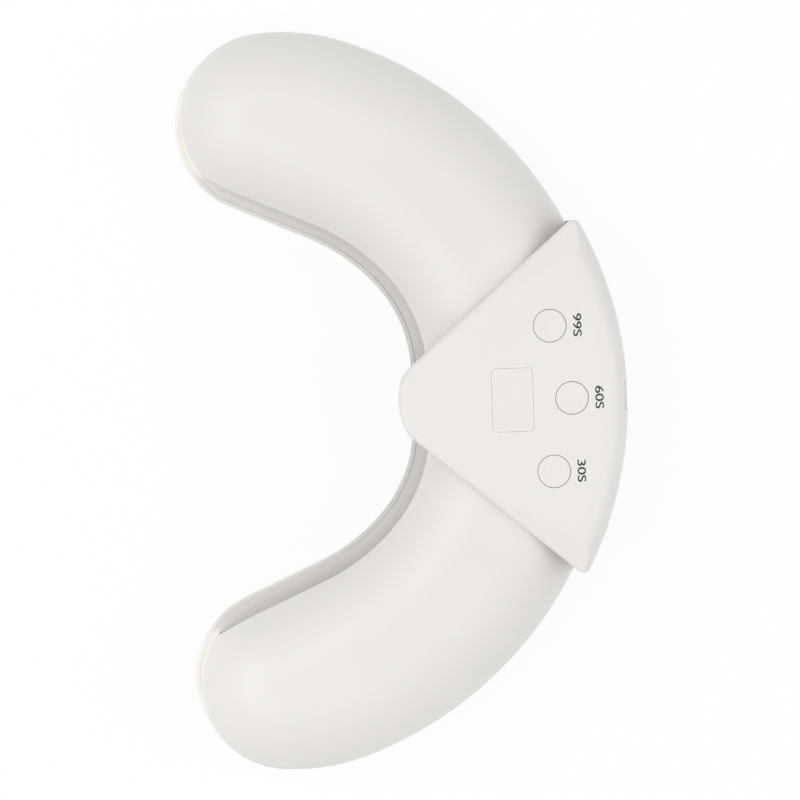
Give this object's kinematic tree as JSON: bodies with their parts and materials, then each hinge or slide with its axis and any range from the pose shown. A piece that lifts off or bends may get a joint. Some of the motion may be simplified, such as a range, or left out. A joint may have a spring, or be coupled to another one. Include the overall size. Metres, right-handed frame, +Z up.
{
  "type": "foldable nail lamp",
  "caption": "Crescent-shaped nail curing lamp with two hollow arms that turn inwards under a fan-shaped control housing with timer buttons.",
  "frame": {"origin": "centre of the open lamp's bounding box, on the surface it stands on", "axes": "+Z up, +Y to the rear where the power inlet is, -Y to the user, +X to the arm on the user's right"},
  "size_m": [0.22, 0.1306, 0.0416],
  "materials": {
    "shell": "warm white moulded plastic, soft gloss",
    "button": "warm white moulded plastic, soft gloss",
    "window": "warm white translucent window",
    "reflector": "white reflector plate",
    "circuit_board": "white solder mask",
    "chip": "black moulded package",
    "light_lens": "clear violet-tinted lens",
    "steel": "plated steel",
    "washer": "low-friction plastic washer",
    "rubber": "light grey rubber pad",
    "lead": "insulated wire"
  },
  "bodies": {
    "housing": {"housing_cover": "shell", "housing_floor": "shell", "lower_pivot_pin": "steel", "upper_pivot_pin": "steel", "pivot_washers": "washer", "control_board": "circuit_board", "button_switches": "steel", "board_chips": "chip", "display_module": "chip", "display_window": "window", "board_screws": "steel", "housing_screws": "steel", "housing_feet": "rubber", "power_inlet": "steel", "inlet_board": "circuit_board", "power_leads": "lead"},
    "left_arm": {"left_hood": "shell", "left_base_plate": "shell", "left_lamp_panel": "reflector", "left_light_board": "circuit_board", "left_lights": "light_lens", "left_panel_screws": "steel", "left_base_screws": "steel", "left_feet": "rubber"},
    "right_arm": {"right_hood": "shell", "right_base_plate": "shell", "right_lamp_panel": "reflector", "right_light_board": "circuit_board", "right_lights": "light_lens", "right_panel_screws": "steel", "right_base_screws": "steel", "right_feet": "rubber"},
    "button_99_cap": {"button_99": "button"},
    "button_60_cap": {"button_60": "button"},
    "button_30_cap": {"button_30": "button"}
  },
  "joints": [
    {"name": "left_fold", "type": "hinge", "parent": "housing", "child": "left_arm", "pos_m": [0, 0.00939, 0], "axis": [0, 0, 1], "range_deg": [0, 30]},
    {"name": "right_fold", "type": "hinge", "parent": "housing", "child": "right_arm", "pos_m": [0, 0.00939, 0], "axis": [0, 0, -1], "range_deg": [0, 30]},
    {"name": "press_99", "type": "slide", "parent": "housing", "child": "button_99_cap", "axis": [0, 0, -1], "range_m": [0, 0.0004], "stiffness_N_per_m": 400},
    {"name": "press_60", "type": "slide", "parent": "housing", "child": "button_60_cap", "axis": [0, 0, -1], "range_m": [0, 0.0004], "stiffness_N_per_m": 400},
    {"name": "press_30", "type": "slide", "parent": "housing", "child": "button_30_cap", "axis": [0, 0, -1], "range_m": [0, 0.0004], "stiffness_N_per_m": 400}
  ]
}
